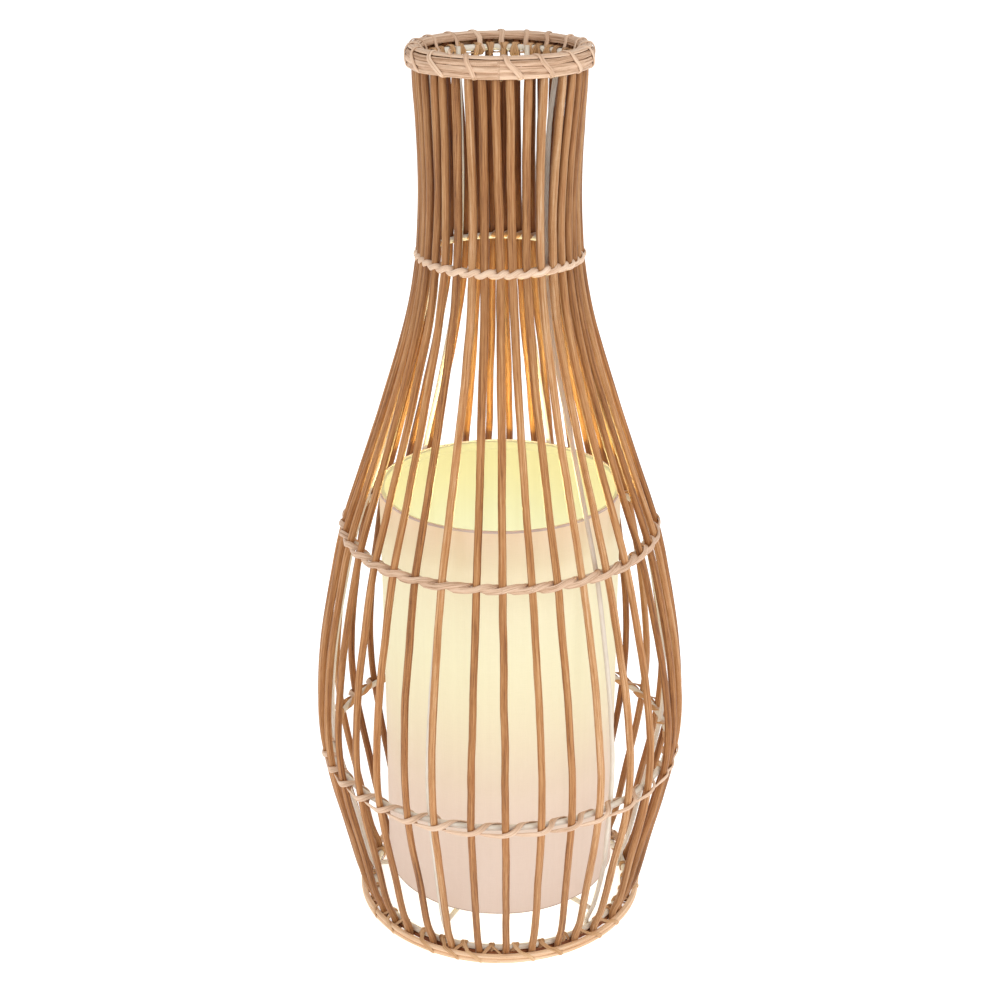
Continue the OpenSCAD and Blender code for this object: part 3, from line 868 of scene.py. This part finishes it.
# ------------------------------------------------------------------ base
def build_base():
    hr = half_round(3.15, 2.9)
    lo = Mesh()
    ring_strip(lo, 99.6, 1.98, -4, 3.1, 2.9, 0.15, 33.0, wob=0.32, sec=hr, n=300, zwob=0.12)
    lo.piece("base_hoop_strip_lower", HOOP_MAT, "lamp", ["base_hoop_lower"])
    up = Mesh()
    ring_strip(up, 99.4, 5.0, 6, 3.1, 2.9, 0.38, 37.0, wob=0.32, sec=hr, n=300, zwob=0.14)
    up.piece("base_hoop_strip_upper", HOOP_MAT, "lamp", ["base_hoop_upper"])
    inn = Mesh()
    ring_strip(inn, 90.95, 2.75, 184, 2.9, 2.8, 0.58, 41.0, wob=0.1, sec=half_round(2.9, 2.8), n=300, zwob=0.08)
    inn.piece("base_hoop_inside", INNER_HOOP_SHADED_MAT, "lamp", ["base_hoop_inner"])


build_base()


def build_base_lashing():
    m = Mesh()
    r = random.Random(23)
    rr = ring_r(6.5)
    pattern = {-3: "F", -2: "A", -1: "T", 0: "F", 1: "F", 2: "K", 3: "F", 4: "F", 5: "K", -4: "F", -5: "T", -6: "A"}
    gaps = []
    for k in range(36):
        a0 = reed_angle(k, 8.0)
        a1 = reed_angle(k + 1, 8.0)
        if a1 < a0:
            a1 += 360
        j = k if k < 18 else k - 36
        kind = pattern.get(j, r.choice(("F", "F", "A", "T", "F", "K")))
        gaps.append((a0, a1, kind))
    for a0, a1, kind in gaps:
        mid = (a0 + a1) / 2
        top = a0 + (a1 - a0) * (0.42 if kind == "A" else r.uniform(0.30, 0.45))
        w = 2.7 + r.uniform(-0.25, 0.35)
        idn = r.random()
        if kind in "FA":
            hoop_a = top + r.uniform(4.5, 7.5)
            mid1 = min(top + 1.6, a1 - 3.0)
            c = [
                (rr - 0.3, top, 9.15, 88), (rr + 2.6, top + 0.4, 8.5, 62), (95.6, mid1, 7.2, 62), (98.6, mid1 + 1.0, 7.0, 72),
                (100.7, (mid1 + hoop_a) / 2 + 0.6, 6.3, 40), (101.25, hoop_a, 3.8, 2), (101.0, hoop_a + 0.8, 1.6, -20), (99.6, hoop_a + 0.9, 0.42, -80),
                (95.0, hoop_a + 0.2, 0.42, -90), (91.2, hoop_a - 1.5, 0.5, -95), (88.7, top + 0.6, 2.2, -170), (88.0, top + 0.2, 5.6, 180),
                (88.3, top, 8.0, 145),
            ]
            pts, nrm = loop_path(c, 5)
            m.sweep(pts, nrm, strip(w, 0.7, 0.5, 4), idn, closed=True, tone=0.12)
        if kind in "AT":
            # legs down to the hoop's inner edge, tucked behind it
            for da, ww in (((-4.2, 2.4),) if kind == "A" else ((-3.6, 2.4), (3.4, 1.5))):
                end = min(max(mid + da, a0 + 1.5), a1 - 1.5)
                c = [
                    (rr - 0.2, top, 9.1, 88), (rr + 2.5, top + (end - top) * 0.2, 8.5, 62), (94.6, top + (end - top) * 0.6, 6.9, 58),
                    (97.2, end, 5.2, 50), (97.4, end, 3.0, 0), (96.2, end, 1.2, -60), (92.2, end, 0.75, -92), (88.7, end, 2.2, -170),
                    (88.0, top, 5.6, 180), (88.4, top, 8.0, 145),
                ]
                pts, nrm = loop_path(c, 5)
                m.sweep(pts, nrm, strip(ww, 0.7, 0.5, 4), (idn + 0.37) % 1.0, closed=True, tone=0.10)
        # the turn round the ring that makes the small knob on top
        for q in range(2 if kind != "K" else 3):
            ak = top + (q - 0.5) * 1.5 + r.uniform(-0.3, 0.3)
            R = 2.55 + 0.12 * q
            lean = r.uniform(-1.2, 1.2)
            c = [(rr + R * math.cos(math.radians(p)), ak + lean * math.sin(math.radians(p)), 6.5 + R * math.sin(math.radians(p)) + (0.35 if p == 90 else 0), p)
                 for p in range(0, 360, 45)]
            pts, nrm = loop_path(c, 3)
            m.sweep(pts, nrm, strip(1.9, 0.8, 0.6, 4), (idn + 0.2 * q) % 1.0, closed=True, tone=-0.15)
    m.piece("base_lashing_cane", CANE_GOLD_MAT, "lamp", ["base_lashing"])


build_base_lashing()

# ------------------------------------------------------------------ shade
def less(rgb, refl):
    """what the cloth must give out itself, once the room's light on it is taken off"""
    return tuple(max(c - r, 0.015) for c, r in zip(lin(*rgb), refl))


OUT_REFL = (0.40, 0.355, 0.325)
OUT_STOPS = [(p, less(c, OUT_REFL)) for p, c in (
    (0.00, (232, 206, 190)), (0.13, (236, 210, 193)), (0.30, (240, 214, 194)), (0.46, (247, 228, 195)),
    (0.62, (251, 240, 200)), (0.76, (252, 242, 205)), (0.90, (249, 232, 196)), (1.00, (245, 214, 182)),
)]
IN_REFL = (0.38, 0.33, 0.12)
IN_STOPS = [(0.0, lin(240, 226, 190)), (0.35, lin(246, 238, 204)), (0.62, lin(240, 236, 198))] + [(p, less(c, IN_REFL)) for p, c in (
    (0.78, (255, 251, 196)), (0.90, (251, 238, 168)), (1.0, (250, 234, 164)),
)]
SHADE_OUT = shade_material("shade_cloth_outer", OUT_STOPS, (0.42, 0.40, 0.37), 1.0).mat
SHADE_IN = shade_material("shade_lining_lit", IN_STOPS, (0.10, 0.095, 0.07), 1.0).mat
SHADE_HEM = strand_material("shade_edge_tape", lin(164, 144, 134), lin(196, 176, 166), lin(210, 192, 184), lin(220, 206, 200),
                            rough=0.8, bump=0.3, warm=0.1, streak=0.2).mat


def build_shade():
    """drum of laminated cloth: one closed thin sheet rolled round, its ends lapped and glued at the back"""
    R, T = 79.95, 0.9
    z0, z1 = 26.5, 312.1
    nu, nv = 180, 44
    lap = 4.5                                   # degrees of overlap at the back
    verts, faces, co, mats = [], [], [], []

    def wall_r(a, z, side):
        # the cloth stands a touch proud between the wires, with very slight bands
        f = (z - z0) / (z1 - z0)
        r = R + 0.25 * n1(a / 14.0, z / 260.0, 2.0) + 0.12 * n1(a / 5.0, z / 160.0, 7.0)
        r -= 0.25 * math.sin(math.pi * f)
        return r - (0 if side == 0 else T)

    a_start, a_end = 180.0 - lap / 2, 540.0 + lap / 2
    for side in (0, 1):
        for i in range(nu + 1):
            u = i / nu
            a = a_start + (a_end - a_start) * u
            # the lap: the last few degrees rise over the first ones
            lift = 0.0
            d = (a - (540.0 - lap / 2)) / lap
            if d > 0:
                lift = 0.95 * min(d * 3, 1.0)
            for j in range(nv + 1):
                z = z0 + (z1 - z0) * j / nv
                r = wall_r(a % 360, z, side) + lift
                verts.append(at(r, a, z) * MM)
                co.append((math.radians(a - 180) * R, 0.0 if side == 0 else -T, z))
    row = nv + 1
    off = (nu + 1) * row

    def vid(side, i, j):
        return side * off + i * row + j

    for i in range(nu):
        for j in range(nv):
            faces.append((vid(0, i, j), vid(0, i + 1, j), vid(0, i + 1, j + 1), vid(0, i, j + 1)))
            mats.append(0)
            faces.append((vid(1, i, j), vid(1, i, j + 1), vid(1, i + 1, j + 1), vid(1, i + 1, j)))
            mats.append(1)
    for i in range(nu):
        faces.append((vid(0, i, 0), vid(1, i, 0), vid(1, i + 1, 0), vid(0, i + 1, 0)))
        faces.append((vid(0, i, nv), vid(0, i + 1, nv), vid(1, i + 1, nv), vid(1, i, nv)))
        mats += [0, 0]
    for j in range(nv):
        faces.append((vid(0, 0, j), vid(0, 0, j + 1), vid(1, 0, j + 1), vid(1, 0, j)))
        faces.append((vid(0, nu, j), vid(1, nu, j), vid(1, nu, j + 1), vid(0, nu, j + 1)))
        mats += [0, 0]
    me = bpy.data.meshes.new("shade_cloth")
    me.from_pydata([tuple(v) for v in verts], [], faces)
    a = me.attributes.new("strand_co", "FLOAT_VECTOR", "POINT")
    a.data.foreach_set("vector", [c for v in co for c in v])
    a = me.attributes.new("strand_id", "FLOAT", "POINT")
    a.data.foreach_set("value", [0.3] * len(verts))
    me.materials.append(SHADE_OUT)
    me.materials.append(SHADE_IN)
    me.polygons.foreach_set("material_index", mats)
    me.update()
    ob = bpy.data.objects.new("shade_cloth", me)
    bpy.context.scene.collection.objects.link(ob)
    finish_mesh(ob, 40)
    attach(ob, "lamp")
    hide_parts("shade_drum")

    # edge tape, folded over the wires at both edges
    tape = Mesh()
    for z, up, reach in ((z1 + 0.1, 1, 1.0), (z0 - 0.1, -1, 0.25)):
        sec = [(0.62, -reach), (0.66, 0.0), (0.45, 0.42), (0.0, 0.58), (-0.45, 0.42), (-0.66, 0.0), (-0.62, -reach)]
        pts, nrm = [], []
        n = 200
        for i in range(n):
            a = 360 * i / n
            pts.append(at(R - 0.45 + 0.25 * n1(a / 14.0, z / 260.0, 2.0), a, z))
            nrm.append(UP * up)
        tape.sweep(pts, nrm, sec[::-1], 0.2 + 0.4 * (up > 0), closed=True)
    turn = Mesh()
    sec = [(0.0, -6.6), (2.3, -4.4), (2.75, -2.4), (2.35, -0.4), (0.0, -0.1)]
    pts, nrm = [], []
    for i in range(180):
        a = 2.0 * i
        pts.append(at(R - T - 0.1, a, z1))
        nrm.append(UP.copy())
    turn.sweep(pts, nrm, [(-x, y) for x, y in sec], 0.3, closed=True)
    tn = turn.piece("shade_lining_turnover", SHADE_IN, "lamp", [])
    tp = tape.piece("shade_edge_tape", SHADE_HEM, "lamp", [])
    return ob


build_shade()

# ------------------------------------------------------------------ finishes on the CAD pieces that show as they are
BY_NODE = {
    "frame_ring_top": PAINT, "frame_ring_neck": PAINT, "frame_ring_shoulder": PAINT, "frame_ring_belly": PAINT,
    "frame_ring_base": PAINT, "frame_arms": PAINT, "hub_plate": PAINT, "shade_ring_top": PAINT, "shade_ring_bottom": PAINT,
    "shade_fitter": PAINT, "stem_cover": PAINT, "stem_tube": ZINC, "stem_washer_lower": ZINC, "stem_nut_lower": ZINC,
    "stem_washer_upper": ZINC, "stem_nut_upper": ZINC, "cord_bushing": BLACK, "holder_cap": HOLDER, "holder_shell": HOLDER,
    "holder_insert": CERAMIC, "holder_screw_shell": BRASS, "holder_centre_contact": BRASS, "holder_side_contact": BRASS,
    "terminal_screws": BRASS, "bulb_contact": ZINC, "bulb_insulator": INSULATION, "bulb_screw_cap": CAP_METAL,
    "bulb_housing": BULB_PLASTIC, "bulb_globe": DIFFUSER,
}
for nm, mat in BY_NODE.items():
    o = node_objects[nm]
    o = o["object"] if isinstance(o, dict) else o
    o = bpy.data.objects[o] if isinstance(o, str) else o
    if not o.material_slots:
        o.data.materials.append(mat)
    for s in o.material_slots:
        s.material = mat

# ------------------------------------------------------------------ floor, world and lights
fm = Nodes("floor_paper")
_tc = fm.add("ShaderNodeTexCoord").outputs["Object"]
_n = fm.noise(_tc, 6.0, 3.0, 0.5)
fm.link(fm.mix(fm.maprange(_n, 0.3, 0.7, 0.0, 1.0), (0.93, 0.93, 0.93), (0.95, 0.95, 0.95)), fm.bsdf.inputs["Base Color"])
fm.bsdf.inputs["Roughness"].default_value = 0.9
fm.bsdf.inputs["Specular IOR Level"].default_value = 0.1
fm.bsdf.inputs["Emission Color"].default_value = (1.0, 1.0, 1.0, 1.0)
fm.bsdf.inputs["Emission Strength"].default_value = 0.62
me = bpy.data.meshes.new("floor")
S = 6.0
me.from_pydata([(-S, -S, 0), (S, -S, 0), (S, S, 0), (-S, S, 0)], [], [(0, 1, 2, 3)])
floor = bpy.data.objects.new("floor", me)
bpy.context.scene.collection.objects.link(floor)
me.materials.append(fm.mat)

w = bpy.data.worlds.new("studio")
bpy.context.scene.world = w
w.use_nodes = True
w.node_tree.nodes["Background"].inputs[0].default_value = (1.0, 1.0, 1.0, 1.0)
w.node_tree.nodes["Background"].inputs[1].default_value = 0.74


def area(name, loc, target, size, power, color=(1, 1, 1), spread=180.0, shape="SQUARE"):
    l = bpy.data.lights.new(name, "AREA")
    l.shape = shape
    l.size = size
    l.energy = power
    l.color = color
    l.spread = math.radians(spread)
    o = bpy.data.objects.new(name, l)
    bpy.context.scene.collection.objects.link(o)
    o.location = loc
    d = Vector(target) - Vector(loc)
    o.rotation_euler = d.to_track_quat("-Z", "Y").to_euler()
    return o


area("key_light", (1.3, -1.6, 1.6), (0, 0, 0.3), 1.0, 15.0, (1.0, 0.98, 0.96))
area("fill_light", (-1.5, -1.5, 1.1), (0, 0, 0.3), 1.2, 6.0, (1.0, 0.97, 0.94))


def point(name, loc, size, power, color):
    l = bpy.data.lights.new(name, "POINT")
    l.shadow_soft_size = size
    l.energy = power
    l.color = color
    o = bpy.data.objects.new(name, l)
    bpy.context.scene.collection.objects.link(o)
    o.location = loc
    return o


# the bulb's own light, leaving the shade by its open ends
point("bulb_glow_up", (0, 0, 0.300), 0.02, 0.60, (1.0, 0.97, 0.40))
point("bulb_glow_down", (0, 0, 0.060), 0.02, 0.05, (1.0, 0.70, 0.36))
point("bulb_glow_neck", (0, 0, 0.425), 0.02, 0.045, (1.0, 0.80, 0.36))
